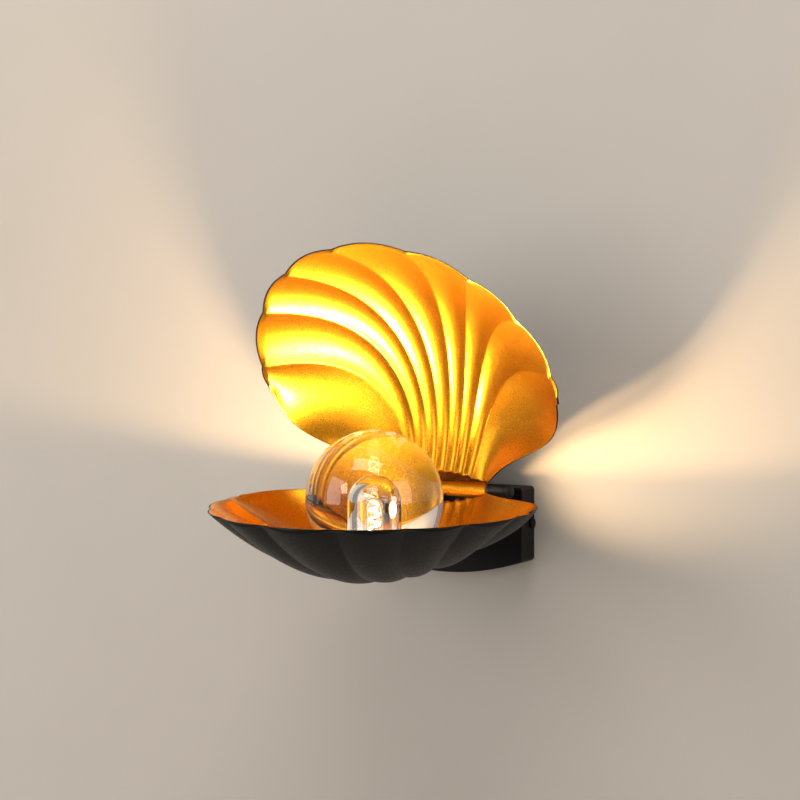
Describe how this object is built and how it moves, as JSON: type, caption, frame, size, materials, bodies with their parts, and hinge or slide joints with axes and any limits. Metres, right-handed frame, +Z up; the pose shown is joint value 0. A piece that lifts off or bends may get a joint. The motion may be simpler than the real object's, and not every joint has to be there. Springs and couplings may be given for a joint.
{
  "type": "shell wall sconce",
  "caption": "Wall light shaped as an open scallop: two ribbed metal shells hinged in front of a wall canopy, with a solid glass ball over the bulb.",
  "frame": {"origin": "centre of the wall bracket's back face, on the wall plane", "axes": "+X right along the wall, +Y into the wall, +Z up; the light stands in front of the wall at -Y"},
  "size_m": [0.2418, 0.2472, 0.2493],
  "materials": {
    "black_paint": "satin black powder coat, fine grain",
    "gold_paint": "metallic gold lacquer with a fine grain",
    "zinc_steel": "zinc plated, dull",
    "bronze": "plain brass",
    "nylon": "natural nylon",
    "ceramic": "unglazed white ceramic",
    "silicone": "translucent silicone rubber",
    "lead_sheath": "soft black sheath",
    "clear_glass": "clear solid glass, polished",
    "filament_glow": "warm glowing filament"
  },
  "bodies": {
    "base": {"axle_caps": "black_paint", "canopy_cover": "black_paint", "canopy_screws": "black_paint", "earth_screw": "zinc_steel", "earth_washer": "bronze", "friction_washers": "zinc_steel", "hinge_axle": "zinc_steel", "hinge_knuckle_left": "black_paint", "hinge_knuckle_right": "black_paint", "holder_contacts": "bronze", "knuckle_screws": "zinc_steel", "lamp_lead": "lead_sheath", "lampholder": "ceramic", "lead_grommet": "silicone", "lower_shell": "black_paint", "seat_cup": "gold_paint", "seat_gasket": "silicone", "seat_nut": "zinc_steel", "seat_stud": "zinc_steel", "shell_strap": "black_paint", "strap_nuts": "zinc_steel", "strap_rivets": "black_paint", "strap_screws": "zinc_steel", "terminal_block": "nylon", "terminal_screws": "zinc_steel", "wall_bracket": "zinc_steel"},
    "upper": {"upper_shell": "black_paint", "hinge_barrel": "gold_paint", "hinge_leaf": "gold_paint", "barrel_bushes": "nylon"},
    "ball": {"glass_ball": "clear_glass"},
    "bulb": {"bulb_glass": "clear_glass", "bulb_base": "ceramic", "bulb_pins": "zinc_steel", "bulb_filament": "filament_glow"}
  },
  "joints": [
    {"name": "shell_hinge", "type": "hinge", "parent": "base", "child": "upper", "pos_m": [0, -0.0322, 0.0257], "axis": [-1, 0, 0], "range_deg": [-20, 10]},
    {"name": "ball_lift", "type": "slide", "parent": "base", "child": "ball", "axis": [0, 0, 1], "range_m": [0, 0.055]},
    {"name": "bulb_pull", "type": "slide", "parent": "base", "child": "bulb", "axis": [0, 0, 1], "range_m": [0, 0.008]}
  ]
}
